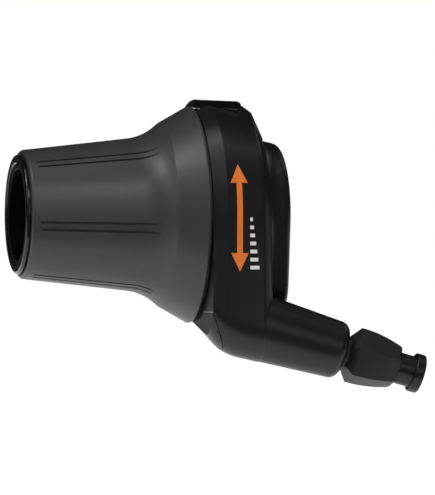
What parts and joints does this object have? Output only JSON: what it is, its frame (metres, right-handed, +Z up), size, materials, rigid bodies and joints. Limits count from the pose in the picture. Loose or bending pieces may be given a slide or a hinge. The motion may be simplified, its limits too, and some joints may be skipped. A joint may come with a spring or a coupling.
{
  "type": "twist grip shifter",
  "caption": "Rotating-grip gear shifter with a flared rubber grip, indicator window, handlebar clamp and an angled cable outlet with a barrel adjuster.",
  "frame": {"origin": "handlebar axis, in the middle of the clamp band", "axes": "+X along the handlebar towards its middle, +Z up, -Y to the front of the bicycle"},
  "size_m": [0.1012, 0.0564, 0.0735],
  "materials": {
    "rubber": "matte, fine moulded grain",
    "housing_black": "satin moulded",
    "gloss_black": "gloss",
    "clear": "clear, gloss",
    "scale_black": "matte",
    "pointer_orange": "gloss",
    "acetal": "satin",
    "steel": "zinc plated",
    "spring_steel": "plain",
    "brass": "machined",
    "black_aluminium": "black anodised"
  },
  "bodies": {
    "housing": {"housing": "housing_black", "elbow_cover": "housing_black", "bar_sleeve": "housing_black", "retaining_plate": "steel", "plate_screws": "steel", "detent_spring": "spring_steel", "detent_pins": "steel", "thrust_washer": "acetal", "gear_scale": "scale_black", "window_lens": "clear", "cable_guide": "acetal", "adjuster_nut": "brass", "adjuster_spring": "spring_steel", "clamp_band": "steel", "clamp_bolt": "steel", "clamp_nut": "steel"},
    "grip": {"rubber_grip": "rubber", "twist_sleeve": "gloss_black", "cable_drum": "acetal", "gear_pointer": "pointer_orange"},
    "knob": {"adjuster_knob": "housing_black"},
    "bolt": {"adjuster_bolt": "black_aluminium"}
  },
  "joints": [
    {"name": "grip_twist", "type": "hinge", "parent": "housing", "child": "grip", "pos_m": [0, 0, 0], "axis": [1, 0, 0], "range_deg": [-39, 39], "deforming": ["detent_spring"]},
    {"name": "adjuster_turn", "type": "hinge", "parent": "housing", "child": "knob", "pos_m": [0.0233, -0.0175, -0.03592], "axis": [0.9613, 0, -0.2756], "range_deg": [-1260, 1620]},
    {"name": "adjuster_slide", "type": "slide", "parent": "knob", "child": "bolt", "axis": [0.9613, 0, -0.2756], "range_m": [-0.00352, 0.00452]}
  ],
  "couplings": [
    {"joint": "adjuster_slide", "follows": "adjuster_turn", "m_per_rad": 0.00015915}
  ]
}
